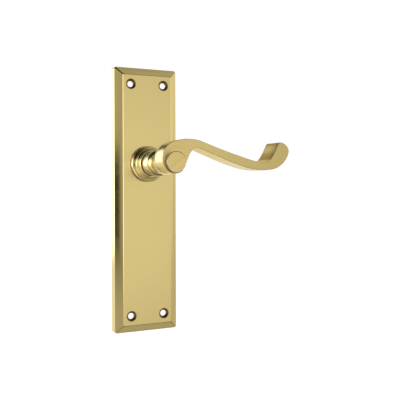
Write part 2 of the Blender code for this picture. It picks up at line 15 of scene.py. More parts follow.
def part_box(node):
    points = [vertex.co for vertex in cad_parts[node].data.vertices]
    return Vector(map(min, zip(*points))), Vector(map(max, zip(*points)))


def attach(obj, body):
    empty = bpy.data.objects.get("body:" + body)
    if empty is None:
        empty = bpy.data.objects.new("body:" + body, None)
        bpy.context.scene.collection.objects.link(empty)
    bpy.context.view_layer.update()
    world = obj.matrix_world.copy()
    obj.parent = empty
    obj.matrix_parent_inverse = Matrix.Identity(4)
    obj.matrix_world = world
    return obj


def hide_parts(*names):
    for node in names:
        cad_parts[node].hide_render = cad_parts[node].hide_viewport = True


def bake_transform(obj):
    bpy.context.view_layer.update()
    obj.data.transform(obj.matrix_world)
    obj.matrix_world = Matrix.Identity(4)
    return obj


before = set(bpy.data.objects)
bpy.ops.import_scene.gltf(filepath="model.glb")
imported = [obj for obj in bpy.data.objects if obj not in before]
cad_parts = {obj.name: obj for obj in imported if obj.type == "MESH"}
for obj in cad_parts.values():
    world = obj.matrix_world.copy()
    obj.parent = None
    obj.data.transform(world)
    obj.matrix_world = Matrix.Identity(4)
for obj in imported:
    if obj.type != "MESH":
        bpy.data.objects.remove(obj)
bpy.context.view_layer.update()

MM = 0.001

# Backplate
PLATE_LOW, PLATE_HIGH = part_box("backplate")
PLATE_HALF_WIDTH = (PLATE_HIGH.x - PLATE_LOW.x) / 2
PLATE_HALF_LENGTH = (PLATE_HIGH.z - PLATE_LOW.z) / 2
PLATE_MIDDLE = (PLATE_HIGH.z + PLATE_LOW.z) / 2
PLATE_DEPTH = -PLATE_LOW.y
PLATE_EDGE = 7.3 * MM
PLATE_BORDER = 5.6 * MM
PLATE_CORNER = 1.8 * MM
PLATE_WALL = 2.4 * MM
PANEL_THICK = 2 * MM
SCREW_X = 13.1 * MM
SCREW_UP = 87.3 * MM
SCREW_HOLE_RADIUS = 2.2 * MM
COUNTERSINK_RADIUS = 3.8 * MM
POST_X = 11.5 * MM
POST_UP = 22 * MM
COVER_SCREWS = [(x * POST_X, up * POST_UP) for x in (-1, 1) for up in (-1, 1)]
POST_RADIUS = 3 * MM
POST_FOOT = 1.55 * MM
POST_FILLET = 0.9 * MM
PILOT_RADIUS = 1.5 * MM
PILOT_END = 8.3 * MM
COLLAR_OPENING = 10.5 * MM

# Lever and neck
ARM_LOW, ARM_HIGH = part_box("lever_arm")
ARM_FRONT, ARM_BACK = -ARM_LOW.y, -ARM_HIGH.y
ARM_FRONT_ROUND = 0.35 * MM
ARM_BACK_ROUND = 0.9 * MM
SCROLL_BACK_ROUND = 1.7 * MM
SCROLL_BACK_RUN = 12 * MM
SCROLL_BLEND_END = 22 * MM
SCROLL_BLEND_RUN = 14 * MM
EYE_RADIUS = 7.3 * MM
EYE_BACK_ROUND = 0.15 * MM
DISC_FRONT = -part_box("neck")[0].y
DISC_RADIUS = 7.1 * MM
JOURNAL_RADIUS = 7 * MM
SOCKET_HALF = 4 * MM
SOCKET_END = 45.3 * MM
TAIL_FLAT = 5.8 * MM
TAIL_FLAT_END = 3.3 * MM
GRUB_OUT = 42 * MM
GRUB_WAY = Matrix.Rotation(math.pi / 2, 4, "X")

# Mechanism
SPRING_RADIUS = 9.6 * MM
SPRING_WIRE = 1.4 * MM
SPRING_PITCH = 1.5 * MM
SPRING_FRONT = 6.8 * MM
SPRING_LEG = 9.5 * MM
SPRING_ENDS = (math.radians(69.5), math.radians(110.5))

# Meshes: points round a full turn, and the angle in degrees over which an edge is sharp
TURN_STEPS = 144
SHARP = 32


def at(x, up, out):
    """A place in the row frame."""
    return Vector((x, -out, up))


def in_mm(chain):
    """The chain's corners, given in millimetres."""
    return [tuple(value * MM for value in corner) for corner in chain]


def polar(radius, angle):
    """A point in the plane of the lever's face, by its place round the spindle's axis."""
    return Vector((radius * math.cos(angle), radius * math.sin(angle)))


# ---------------------------------------------------------------- profiles


def eased(corners, count=6):
    """A chain of points with each (across, along, radius) corner rounded to its radius."""
    points = [Vector(corner[:2]) for corner in corners]
    chain = []
    for i, corner in enumerate(corners):
        radius = corner[2] if len(corner) > 2 else 0
        if radius == 0 or i in (0, len(corners) - 1):
            chain.append(points[i])
            continue
        back = (points[i - 1] - points[i]).normalized()
        onward = (points[i + 1] - points[i]).normalized()
        half = back.angle(onward) / 2
        centre = points[i] + (back + onward).normalized() * (radius / math.sin(half))
        start = points[i] + back * (radius / math.tan(half)) - centre
        end = points[i] + onward * (radius / math.tan(half)) - centre
        sweep = start.angle_signed(end)
        for step in range(count + 1):
            turned = start.copy()
            turned.rotate(Matrix.Rotation(-sweep * step / count, 2))
            chain.append(centre + turned)
    return chain


def smooth_through(points, between=6):
    """A Catmull-Rom curve through the points, its ends included."""
    points = [Vector(point) for point in points]
    first = points[0] * 2 - points[1]
    last = points[-1] * 2 - points[-2]
    chain = [first, *points, last]
    curve = []
    for before, start, end, after in zip(chain, chain[1:], chain[2:], chain[3:]):
        for step in range(between):
            t = step / between
            curve.append(
                0.5
                * (
                    start * 2
                    + (end - before) * t
                    + (before * 2 - start * 5 + end * 4 - after) * t**2
                    + (start * 3 - before - end * 3 + after) * t**3
                )
            )
    return [*curve, points[-1]]


def plug(radius, top, low):
    """The profile of a plain round plug, which drills a hole."""
    return [(0, top), (radius, top), (radius, low), (0, low)]


# ---------------------------------------------------------------- mesh pieces


def make_object(name, shape, sharp=SHARP):
    """An object from a bmesh, with smooth shading except along edges over sharp degrees."""
    bmesh.ops.recalc_face_normals(shape, faces=shape.faces)
    mesh = bpy.data.meshes.new(name)
    shape.to_mesh(mesh)
    shape.free()
    mesh.shade_smooth()
    mesh.set_sharp_from_angle(angle=math.radians(sharp))
    piece = bpy.data.objects.new(name, mesh)
    bpy.context.scene.collection.objects.link(piece)
    return piece


def loft(rings, capped=True, closed=False):
    """A bmesh skin over rings of equal length, in order. A ring of one point is a pole."""
    shape = bmesh.new()
    made = [[shape.verts.new(point) for point in ring] for ring in rings]
    pairs = list(zip(made, made[1:]))
    if closed:
        pairs.append((made[-1], made[0]))
    for ring, other in pairs:
        count = max(len(ring), len(other))
        for i in range(count):
            j = (i + 1) % count
            if len(ring) == 1:
                shape.faces.new((ring[0], other[j], other[i]))
            elif len(other) == 1:
                shape.faces.new((ring[i], ring[j], other[0]))
            else:
                shape.faces.new((ring[i], ring[j], other[j], other[i]))
    if capped:
        for ring in (made[0], made[-1]):
            if len(ring) > 1:
                shape.faces.new(ring)
    return shape


def turned_rings(chain, steps, x, up):
    """Rings of (radius, out) points turned about a line straight out of the door."""
    least_radius = 0.001 * MM
    rings = []
    for radius, out in chain:
        if radius < least_radius:
            rings.append([at(x, up, out)])
            continue
        ring = []
        for i in range(steps):
            angle = math.tau * i / steps
            ring.append(at(x + radius * math.cos(angle), up + radius * math.sin(angle), out))
        rings.append(ring)
    return rings


def turned(name, chain, steps=TURN_STEPS, closed=False, x=0, up=0):
    """A turned object. A closed chain is the section of a ring."""
    rings = turned_rings(chain, steps, x, up)
    return make_object(name, loft(rings, capped=not closed, closed=closed))


def carve(piece, cutter, operation="DIFFERENCE"):
    """Cuts one mesh from another, or joins it, and removes the cutter."""
    boolean = piece.modifiers.new(cutter.name, "BOOLEAN")
    boolean.operation = operation
    boolean.solver = "EXACT"
    boolean.object = cutter
    apply_modifiers(piece)
    bpy.data.objects.remove(cutter)


def apply_modifiers(piece):
    """Makes the mesh that the modifiers give the object's own mesh."""
    bpy.context.view_layer.update()
    graph = bpy.context.evaluated_depsgraph_get()
    mesh = bpy.data.meshes.new_from_object(piece.evaluated_get(graph))
    piece.modifiers.clear()
    piece.data = mesh


def even_normals(piece, sharp=SHARP):
    """Large flat faces keep flat shading right up to their rounded edges."""
    piece.data.shade_smooth()
    piece.data.set_sharp_from_angle(angle=math.radians(sharp))
    weighted = piece.modifiers.new("even normals", "WEIGHTED_NORMAL")
    weighted.keep_sharp = True
    weighted.weight = 100


def add_finishes(piece, *materials):
    for material in materials:
        piece.data.materials.append(material)


def finish_faces(piece, index, chosen):
    """Gives the finish at index, from add_finishes, to every face that chosen() accepts."""
    for face in piece.data.polygons:
        if chosen(face):
            face.material_index = index


def dress(piece, body, node, slot, *materials):
    """Puts a piece in place of its CAD node, on its body, with any finishes still to add."""
    add_finishes(piece, *materials)
    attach(piece, body)
    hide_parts(node)


# ---------------------------------------------------------------- backplate


def plate_ring(inset, out, corner, count=6):
    """A rounded rectangle round the plate, moved in from its outer wall."""
    half_x = PLATE_HALF_WIDTH - inset - corner
    half_up = PLATE_HALF_LENGTH - inset - corner
    ring = []
    for quarter, (side, end) in enumerate(((1, 1), (-1, 1), (-1, -1), (1, -1))):
        for i in range(count + 1):
            angle = math.pi / 2 * (quarter + i / count)
            x = side * half_x + corner * math.cos(angle)
            up = end * half_up + corner * math.sin(angle)
            ring.append(at(x, PLATE_MIDDLE + up, out))
    return ring


def plate_block(name, chain, corner, least):
    """A block of plate rings. Its corners tighten as the rings move in, down to least."""
    start = chain[0][0]
    rings = [
        plate_ring(inset, out, max(corner - (inset - start), least)) for inset, out in chain
    ]
    return make_object(name, loft(rings))


def bellied(chain, start, end, swell, count=6):
    """The chain with its straight run from start to end swollen into a shallow arc."""
    run = chain[end] - chain[start]
    outward = Vector((-run.y, run.x)).normalized()
    arc = []
    for i in range(1, count):
        share = i / count
        arc.append(chain[start] + run * share + outward * (4 * swell * share * (1 - share)))
    return [*chain[: start + 1], *arc, *chain[end:]]


def make_backplate(polished, satin, recess_shade):
    """The cast plate, its hollow back, the posts for the cover, and its holes."""
    front_edge, panel_edge, steps = 0.2 * MM, 0.9 * MM, 10
    panel_run, border_swell, least_corner = 2 * MM, 0.1 * MM, 0.8 * MM
    outside = eased(
        [
            (0, 0),
            (0, PLATE_EDGE, front_edge),
            (PLATE_BORDER, PLATE_DEPTH, panel_edge),
            (PLATE_BORDER + panel_run, PLATE_DEPTH),
        ],
        steps,
    )
    border_start = steps + 1
    outside = bellied(outside, border_start, border_start + 1, border_swell)
    plate = plate_block("backplate_casting", outside, PLATE_CORNER, least_corner)
    add_finishes(plate, polished, satin, recess_shade)
    flat_out = PLATE_DEPTH - 0.01 * MM
    finish_faces(plate, 1, lambda face: -face.center.y > flat_out)

    below = 1 * MM
    inside = PLATE_DEPTH - PANEL_THICK
    slope_run = PLATE_BORDER - 1 * MM
    slope = (PLATE_DEPTH - PLATE_EDGE) / PLATE_BORDER
    inner_edge, hollow_corner, least_corner = 1 * MM, 1.5 * MM, 0.5 * MM
    hollow = eased(
        [
            (PLATE_WALL, -below),
            (PLATE_WALL, inside - slope * slope_run, inner_edge),
            (PLATE_WALL + slope_run, inside, inner_edge),
            (PLATE_WALL + slope_run + panel_run, inside),
        ]
    )
    carve(plate, plate_block("hollow", hollow, hollow_corner, least_corner))

    into_panel = inside + PANEL_THICK / 2
    for x, up in COVER_SCREWS:
        foot = eased(
            [
                (0, into_panel),
                (POST_RADIUS + POST_FILLET, into_panel),
                (POST_RADIUS + POST_FILLET, inside),
                (POST_RADIUS, inside - POST_FILLET),
                (POST_RADIUS, POST_FOOT, 0.25 * MM),
                (0, POST_FOOT),
            ]
        )
        carve(plate, turned("post", foot, 48, x=x, up=up), "UNION")
        carve(plate, turned("pilot", plug(PILOT_RADIUS, PILOT_END, 0), 32, x=x, up=up))

    sink = COUNTERSINK_RADIUS - SCREW_HOLE_RADIUS
    edge_run, edge_over, edge_under = 0.2 * MM, 0.02 * MM, 0.08 * MM
    edge_round, foot_round = 0.2 * MM, 0.1 * MM
    countersink = eased(
        [
            (0, PLATE_DEPTH + below),
            (COUNTERSINK_RADIUS + edge_run, PLATE_DEPTH + below),
            (COUNTERSINK_RADIUS + edge_run, PLATE_DEPTH + edge_over),
            (COUNTERSINK_RADIUS, PLATE_DEPTH - edge_under, edge_round),
            (SCREW_HOLE_RADIUS, PLATE_DEPTH - sink, foot_round),
            (SCREW_HOLE_RADIUS, -below),
            (0, -below),
        ]
    )
    for x in (-SCREW_X, SCREW_X):
        for end in (-1, 1):
            up = PLATE_MIDDLE + end * SCREW_UP
            cutter = turned("screw hole", countersink, 64, x=x, up=up)
            add_finishes(cutter, polished, satin, recess_shade)
            # The screw seats get painted shade
            finish_faces(cutter, 2, lambda face: True)
            carve(plate, cutter)
    carve(plate, turned("collar hole", plug(COLLAR_OPENING, 2 * PLATE_DEPTH, -below), 96))
    even_normals(plate)
    # A mirror of the lever in the plate, or of the plate in the lever, would break up the even
    # tones that the studio gives both, so the plate, neck and arm stay out of reflections.
    plate.visible_glossy = False
    dress(plate, "plate", "backplate", "polished_brass")


# ---------------------------------------------------------------- turned pieces


def make_collar(polished, recess_shade):
    """The stepped collar: a base, a smaller bead and a lip. Its foot by the panel has painted
    shade.
    """
    seat = PLATE_DEPTH + 0.05 * MM
    front = -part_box("rose_collar")[0].y
    foot = 12.6 * MM
    spigot, bore, recess = 10.2 * MM, 9 * MM, 9.7 * MM
    spigot_end, recess_floor = 9.4 * MM, 20 * MM
    base = [
        (13.5, 11.05), (13.55, 11.9), (13.5, 13.2), (13.3, 14.3), (12.75, 15.1),
        (12.0, 15.65), (11.45, 16.2), (11.25, 16.9),
    ]  # fmt: skip
    middle = [
        (11.25, 16.9), (11.5, 17.5), (11.6, 18.3), (11.5, 19.1), (11.1, 19.7), (10.6, 20.0),
        (10.35, 20.3),
    ]  # fmt: skip
    lip = [(10.35, 20.3), (10.65, 20.8), (10.7, 21.5), (10.45, 22.05), (9.95, 22.3)]
    outer = [*smooth_through(base)[:-1], *smooth_through(middle)[:-1], *smooth_through(lip)]
    chain = [
        *reversed(in_mm(outer)),
        (spigot, seat),
        (spigot, spigot_end),
        (bore, spigot_end),
        (bore, recess_floor),
        (recess, recess_floor),
        (recess, front),
    ]
    collar = turned("rose_collar_turning", chain, closed=True)
    even_normals(collar)
    add_finishes(collar, polished, recess_shade)
    # Painted shade on the collar's foot by the panel
    finish_faces(collar, 1, lambda face: -face.center.y < foot)
    dress(collar, "plate", "rose_collar", "polished_brass")


def make_neck(polished, brushed, recess_shade):
    """The neck: disc, shank and bell on the front, and the journal that runs to the tail."""
    shoulder, foot = 22.6 * MM, ARM_BACK - 0.3 * MM
    front = eased(
        [
            (0, DISC_FRONT),
            (DISC_RADIUS, DISC_FRONT, 0.1 * MM),
            (DISC_RADIUS, ARM_FRONT - 2 * MM),
            (JOURNAL_RADIUS, ARM_FRONT - 2.1 * MM),
            (JOURNAL_RADIUS, foot),
            (9 * MM, foot, 0.15 * MM),
            (8.6 * MM, 44.6 * MM, 3 * MM),
            (7.4 * MM, 37.2 * MM, 0.8 * MM),
            (7.8 * MM, 35.4 * MM, 0.3 * MM),
            (8.7 * MM, 35.2 * MM, 0.3 * MM),
        ]
    )
    bell = [
        (9.3, 34.7), (9.6, 33.6), (9.7, 30.5), (9.65, 27.0), (9.4, 25.0), (8.9, 23.7),
        (8.95, 23.1), (9.5, 22.6),
    ]  # fmt: skip
    bell = in_mm(smooth_through(bell))
    clip_front, clip_back, clip_radius = -0.95 * MM, -1.95 * MM, 6.3 * MM
    tail_end = -2.6 * MM
    tail = eased(
        [
            (JOURNAL_RADIUS, shoulder),
            (JOURNAL_RADIUS, clip_front),
            (clip_radius, clip_front),
            (clip_radius, clip_back),
            (JOURNAL_RADIUS, clip_back),
            (JOURNAL_RADIUS, tail_end, 0.3 * MM),
            (0, tail_end),
        ]
    )
    neck = turned("neck_turning", [*front, *bell, *tail])
    clear = -5 * MM
    sides = [(x * SOCKET_HALF, up * SOCKET_HALF) for x, up in ((1, 1), (-1, 1), (-1, -1), (1, -1))]
    socket = loft([[at(x, up, out) for x, up in sides] for out in (clear, SOCKET_END)])
    carve(neck, make_object("socket", socket))
    for side in (-1, 1):
        flat, far = side * TAIL_FLAT, side * 12 * MM
        corners = ((flat, far), (far, far), (far, -far), (flat, -far))
        block = loft([[at(x, up, out) for x, up in corners] for out in (clear, TAIL_FLAT_END)])
        carve(neck, make_object("flat", block))
    hole = turned("grub hole", plug(2.5 * MM, 12 * MM, 3 * MM), 48)
    hole.data.transform(Matrix.Translation(at(0, 0, GRUB_OUT)) @ GRUB_WAY)
    carve(neck, hole)
    even_normals(neck)
    add_finishes(neck, polished, brushed, recess_shade)
    # Painted shade in the groove round the disc and in the throat by the collar, brushed on the
    # disc
    groove_foot, disc_edge = ARM_FRONT - 3 * MM, DISC_FRONT - 0.12 * MM
    throat_foot, throat = shoulder - 1 * MM, 23.6 * MM
    finish_faces(neck, 2, lambda face: groove_foot < -face.center.y < disc_edge)
    finish_faces(neck, 1, lambda face: -face.center.y > DISC_FRONT - 0.01 * MM)
    finish_faces(neck, 2, lambda face: throat_foot < -face.center.y < throat)
    neck.visible_glossy = False
    dress(neck, "lever", "neck", "polished_brass")


# ---------------------------------------------------------------- lever arm


def scroll_radius(angle):
    """The outer radius of the scroll that winds round the disc, widening up to its top."""
    start, top = math.radians(318), math.radians(90)
    least, growth = 7.6, 7.4
    wound = (start - angle) / (start - top)
    return (least + growth * wound**2) * MM


def arm_outline():
    """The lever's outline, clockwise from the thin end of the scroll under the disc."""
    scroll_end, scroll_top, eye_start = math.radians(311), math.radians(80), math.radians(-3)
    count = 72
    angles = [scroll_end + (scroll_top - scroll_end) * i / count for i in range(count + 1)]
    scroll = [polar(scroll_radius(angle), angle) for angle in angles]
    top_edge = [
        (8.3, 16.2), (17.5, 15.3), (31.7, 10.5), (46.5, 5.9), (61.0, 1.8),
        (68.5, 0.9), (74.6, 2.2), (78.5, 6.9), (82.3, 14.0),
    ]  # fmt: skip
    tip = [
        (84.0, 15.4), (87.2, 14.8), (90.6, 12.2), (91.8, 8.8), (89.9, 3.8), (86.3, -0.4),
        (80.5, -3.8),
    ]  # fmt: skip
    lower_edge = [
        (73.2, -5.1), (65.6, -5.1), (54.1, -3.1), (42.5, 0.6), (28.1, 6.0), (20.5, 8.8),
        (16.4, 9.9), (13.6, 9.3), (11.1, 6.9), (9.2, 3.4), (7.8, -0.3),
    ]  # fmt: skip
    through = [Vector(point) * MM for point in (*top_edge, *tip, *lower_edge)]
    free_side = smooth_through([scroll[-1], *through], 8)[1:]
    count = 96
    eye = [
        polar(EYE_RADIUS, eye_start + (scroll_end - eye_start) * i / count)
        for i in range(count + 1)
    ]
    return [*scroll, *free_side, *eye]


def inward_normals(outline):
    """The unit normals of a clockwise outline, pointing into the material."""
    normals = []
    folded = 0.2
    for before, point, after in zip([outline[-1], *outline], outline, [*outline[1:], outline[0]]):
        one, two = (point - before).normalized(), (after - point).normalized()
        along = one + two
        if along.length < folded:
            along = two
        along.normalize()
        normals.append(Vector((along.y, -along.x)))
    return normals


def thickness(outline, normals):
    """How far each point can look into the material before it meets the other side."""
    far, parallel, nearby, slack = 1.0, 1e-12, 1e-7, 0.001
    found = []
    edges = list(zip(outline, [*outline[1:], outline[0]]))
    for i, (point, normal) in enumerate(zip(outline, normals)):
        nearest = far
        for j, (start, end) in enumerate(edges):
            if j in (i, i - 1) or (i == 0 and j == len(edges) - 1):
                continue
            run = end - start
            cross = normal.x * run.y - normal.y * run.x
            if abs(cross) < parallel:
                continue
            gap = start - point
            reach = (gap.x * run.y - gap.y * run.x) / cross
            share = (gap.x * normal.y - gap.y * normal.x) / cross
            if reach > nearby and -slack <= share <= 1 + slack:
                nearest = min(nearest, reach)
        found.append(nearest)
    # The least of the neighbours, then their mean, so that it changes evenly along the edge.
    window = 4
    near = range(-window, window + 1)
    count = len(found)
    low = [min(found[(i + k) % count] for k in near) for i in range(count)]
    return [sum(low[(i + k) % count] for k in near) / len(near) for i in range(count)]


def make_arm(brushed, polished, recess_shade):
    """The scroll bar, with a small even round at the front and a fuller one at the back.

    At the scroll the back is rounded far along the sides, where the head runs into the neck.
    """
    outline = arm_outline()
    normals = inward_normals(outline)
    room = thickness(outline, normals)
    arm_share, scroll_extra, eye_share = 0.4, 0.2, 0.2
    eye_reach = EYE_RADIUS + 0.1 * MM

    def ring(share_in, share_out, out, way):
        """The outline moved in and away from the face at out, for one step of its rounding."""
        points = []
        for point, normal, wide in zip(outline, normals, room):
            if way == 1:
                inset = drop = min(ARM_FRONT_ROUND, arm_share * wide)
            elif point.length < eye_reach:
                inset = drop = min(EYE_BACK_ROUND, eye_share * wide)
            else:
                scroll = min(1, max(0, (SCROLL_BLEND_END - point.x) / SCROLL_BLEND_RUN))
                round_here = ARM_BACK_ROUND + (SCROLL_BACK_ROUND - ARM_BACK_ROUND) * scroll
                inset = min(round_here, (arm_share + scroll_extra * scroll) * wide)
                drop = inset + (SCROLL_BACK_RUN - inset) * scroll
            inner = point + normal * (inset * share_in)
            points.append(at(inner.x, inner.y, out - way * drop * share_out))
        return points

    def rounding(out, way, steps):
        """The rings of one rounded edge, from the face at out to the side."""
        angles = [math.pi / 2 * i / steps for i in range(steps + 1)]
        return [ring(1 - math.sin(a), 1 - math.cos(a), out, way) for a in angles]

    rings = [*rounding(ARM_FRONT, 1, 6), *reversed(rounding(ARM_BACK, -1, 12))]
    arm = make_object("scroll_arm", loft(rings))
    even_normals(arm, 40)
    add_finishes(arm, brushed, polished, recess_shade)
    eye_wall = EYE_RADIUS + 0.15 * MM
    finish_faces(arm, 1, lambda face: -face.center.y < ARM_FRONT - 0.01 * MM)
    # The wall of the eye, in the groove round the disc, gets painted shade
    finish_faces(arm, 2, lambda face: math.hypot(face.center.x, face.center.z) < eye_wall)
    arm.visible_glossy = False
    dress(arm, "lever", "lever_arm", "brushed_brass")


# ---------------------------------------------------------------- mechanism


def make_bush(material):
    """The flanged nylon bush in the collar."""
    chain = in_mm(
        [
            (7.6, 21), (9.25, 21), (9.4, 20.85), (9.4, 20.3), (8.7, 20.3), (8.7, 9.6),
            (8.5, 9.4), (7.6, 9.4), (7.3, 9.8), (7.3, 20.7),
        ]
    )  # fmt: skip
    bush = turned("bearing_bush_moulding", chain, 96, closed=True)
    dress(bush, "plate", "bearing_bush", "nylon", material)


def make_thrust_washer(material):
    """The nylon washer between the cover and the circlip."""
    chain = in_mm(
        [
            (7.4, -0.1), (10.3, -0.1), (10.4, -0.2), (10.4, -0.7), (10.3, -0.8), (7.4, -0.8),
            (7.3, -0.7), (7.3, -0.2),
        ]
    )  # fmt: skip
    washer = turned("thrust_washer_ring", chain, 96, closed=True)
    dress(washer, "lever", "thrust_washer", "nylon", material)


def make_wave_washer(material):
    """A thin spring washer with three waves."""
    waves, lift, middle, half_sheet = 3, 0.3 * MM, 21.8 * MM, 0.15 * MM
    section = ((7.5, -1), (7.5, 1), (9.2, 1), (9.2, -1))
    rings = []
    for radius, side in section:
        ring = []
        for i in range(TURN_STEPS):
            angle = math.tau * i / TURN_STEPS
            out = middle + lift * math.sin(waves * angle) + side * half_sheet
            ring.append(at(radius * MM * math.cos(angle), radius * MM * math.sin(angle), out))
        rings.append(ring)
    washer = make_object("wave_washer_ring", loft(rings, capped=False, closed=True))
    dress(washer, "plate", "wave_washer", "spring_steel", material)


def square_ring(half, corner, out):
    """An octagonal ring: a square bar's outline with its corners cut."""
    near = half - corner
    sides = ((half, near), (near, half), (-near, half), (-half, near))
    whole = [*sides, *((-x, -up) for x, up in sides)]
    return [at(x, up, out) for x, up in whole]


def make_spindle(material):
    """The drawn square bar that turns the latch, chamfered at both ends."""
    half, edge, end = 3.8 * MM, 0.35 * MM, 0.6 * MM
    front, back = 45 * MM, -40 * MM
    rings = [
        square_ring(half - end, edge, front),
        square_ring(half, edge, front - end),
        square_ring(half, edge, back + end),
        square_ring(half - end, edge, back),
    ]
    spindle = make_object("spindle_bar", loft(rings), 25)
    bevel = spindle.modifiers.new("worn edges", "BEVEL")
    bevel.width = 0.12 * MM
    bevel.segments = 2
    bevel.limit_method = "ANGLE"
    apply_modifiers(spindle)
    even_normals(spindle)
    dress(spindle, "lever", "spindle", "plated_steel", material)


def make_grub_screw(material):
    """The socket grub screw in the neck, which clamps the spindle."""
    thread_top, thread_low, pitch, crest, depth = 6.9, 4.7, 0.55, 2.3, 0.12
    grooves = []
    for i in range(int((thread_top - thread_low) / pitch)):
        out = thread_top - i * pitch
        grooves += [(crest, out), (crest - depth, out - pitch / 2)]
    end, point = [(0, 7.5), (2.0, 7.5), (crest, 7.2)], [(crest, 4.5), (1.7, 4.0), (0, 4.0)]
    grub = turned("grub_screw_body", in_mm([*end, *grooves, *point]), 48)
    carve(grub, turned("key", plug(1.45 * MM, 9 * MM, 5.9 * MM), 6))
    grub.data.transform(Matrix.Translation(at(0, 0, GRUB_OUT)) @ GRUB_WAY)
    even_normals(grub)
    dress(grub, "lever", "grub_screw", "blackened_steel", material)


def make_pins(material):
    """The two stop pins, the spring's anchor pin and the drive peg, ends rounded over."""
    for node, body in (
        ("stop_pin_rest", "plate"),
        ("stop_pin_full", "plate"),
        ("anchor_pin", "plate"),
        ("drive_peg", "lever"),
    ):
        low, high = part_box(node)
        middle = (low + high) / 2
        radius = (high.z - low.z) / 2
        back, front = -high.y, -low.y
        end = 0.25 * MM
        chain = eased([(0, front), (radius, front, end), (radius, back, end), (0, back)])
        pin = turned(f"{node}_rod", chain, 32, x=middle.x, up=middle.z)
        dress(pin, body, node, "plated_steel", material)


def make_cover_screws(material):
    """Four countersunk cross-recessed screws, seen from the back."""
    chain = eased(
        in_mm(
            [
                (0, 7.6), (0.7, 7.6, 0.2), (1.2, 6.9), (1.2, 1.6), (2.3, 0.45), (2.35, 0.25, 0.08),
                (0, 0.25),
            ]
        )
    )  # fmt: skip
    reach, half_slot, taper = 1.4, 0.3, 0.8
    slot_top, slot_foot = -0.5 * MM, 1 * MM
    for i in range(1, len(COVER_SCREWS) + 1):
        node = f"cover_screw_{i}"
        low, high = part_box(node)
        middle = (low + high) / 2
        screw = turned(f"{node}_body", chain, 40)
        for long, thin in ((reach, half_slot), (half_slot, reach)):
            outline = ((long, thin), (-long, thin), (-long, -thin), (long, -thin))
            wide = [at(a * MM, b * MM, slot_top) for a, b in outline]
            narrow = [at(a * taper * MM, b * taper * MM, slot_foot) for a, b in outline]
            carve(screw, make_object("cross", loft([wide, narrow])))
        screw.data.transform(Matrix.Translation((middle.x, 0, middle.z)))
        even_normals(screw)
        dress(screw, "plate", node, "plated_steel", material)


def spring_path(turn_steps=180, leg_steps=8):
    """Two tangential legs joined by two turns that wind clockwise towards the door."""
    front, back = SPRING_ENDS
    sweep = front - back + 2 * math.tau
    front_leg, back_leg = front + math.pi / 2, back - math.pi / 2
    path = []
    for i in range(leg_steps, 0, -1):
        place = polar(SPRING_RADIUS, front) + polar(SPRING_LEG * i / leg_steps, front_leg)
        path.append((*place, SPRING_FRONT))
    for i in range(turn_steps + 1):
        turn = sweep * i / turn_steps
        out = SPRING_FRONT - SPRING_PITCH * turn / math.tau
        path.append((*polar(SPRING_RADIUS, front - turn), out))
    for i in range(1, leg_steps + 1):
        place = polar(SPRING_RADIUS, back) + polar(SPRING_LEG * i / leg_steps, back_leg)
        path.append((*place, out))
    return [at(*place) for place in path]


def tube(name, path, radius, sides=16):
    """A round wire along a path, its ends closed."""
    rings = []
    aside = Vector((0, 1, 0))
    angles = [math.tau * k / sides for k in range(sides)]
    for i, place in enumerate(path):
        ahead = (path[min(i + 1, len(path) - 1)] - path[max(i - 1, 0)]).normalized()
        aside = (aside - ahead * aside.dot(ahead)).normalized()
        other = ahead.cross(aside)
        rings.append([place + (aside * math.cos(a) + other * math.sin(a)) * radius for a in angles])
    return make_object(name, loft(rings), 50)


def make_spring(material):
    """The return spring, as one wire fixed in place. On the handle its front leg stays with the
    plate and its back leg turns.
    """
    path = spring_path()
    spring = tube("return_spring_wire", path, SPRING_WIRE / 2)
    add_finishes(spring, material)
    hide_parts("torsion_spring")
    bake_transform(spring)


def refine_sheet(node, material, edge):
    """A pressed sheet keeps its CAD shape, with its edges eased by a number of millimetres."""
    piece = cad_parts[node]
    for slot in piece.material_slots:
        slot.link = "OBJECT"
        slot.material = material
    weld = piece.modifiers.new("weld", "WELD")
    weld.merge_threshold = 0.005 * MM
    bevel = piece.modifiers.new("eased edges", "BEVEL")
    bevel.width = edge * MM
    bevel.segments = 2
    bevel.limit_method = "ANGLE"
    bevel.angle_limit = math.radians(40)
    bevel.use_clamp_overlap = True
    weighted = piece.modifiers.new("even normals", "WEIGHTED_NORMAL")
    weighted.keep_sharp = True


# ---------------------------------------------------------------- finishes


def new_material(name, roughness, metallic=1.0):
    material = bpy.data.materials.new(name)
    material.use_nodes = True
    shader = material.node_tree.nodes["Principled BSDF"]
    shader.inputs["Metallic"].default_value = metallic
    shader.inputs["Roughness"].default_value = roughness
    return material, material.node_tree, shader


def noise(tree, vector, scale, detail=3.0):
    """Noise with scale cells to one unit of the vector, which is a metre unless mapped."""
    node = tree.nodes.new("ShaderNodeTexNoise")
    tree.links.new(vector, node.inputs["Vector"])
    node.inputs["Scale"].default_value = scale
    node.inputs["Detail"].default_value = detail
    return node.outputs["Fac"]


def mapped(tree, vector, setting, values):
    """The vector through a Mapping node with its Scale or Rotation set."""
    node = tree.nodes.new("ShaderNodeMapping")
    tree.links.new(vector, node.inputs["Vector"])
    node.inputs[setting].default_value = values
    return node.outputs["Vector"]


def parted(tree, vector):
    """The vector's X, Y and Z, as a node's outputs by name."""
    node = tree.nodes.new("ShaderNodeSeparateXYZ")
    tree.links.new(vector, node.inputs["Vector"])
    return node.outputs


def remap(tree, value, low, high, to_low, to_high):
    """The value's range from low to high brought to a new range, and held at its ends."""
    node = tree.nodes.new("ShaderNodeMapRange")
    tree.links.new(value, node.inputs["Value"])
    numbers = {"From Min": low, "From Max": high, "To Min": to_low, "To Max": to_high}
    for name, number in numbers.items():
        node.inputs[name].default_value = number
    return node.outputs["Result"]


def math_node(tree, operation, *values):
    """A Math node's result. Each value is a number or a socket."""
    node = tree.nodes.new("ShaderNodeMath")
    node.operation = operation
    for socket, value in zip(node.inputs, values):
        if isinstance(value, bpy.types.NodeSocket):
            tree.links.new(value, socket)
        else:
            socket.default_value = value
    return node.outputs[0]


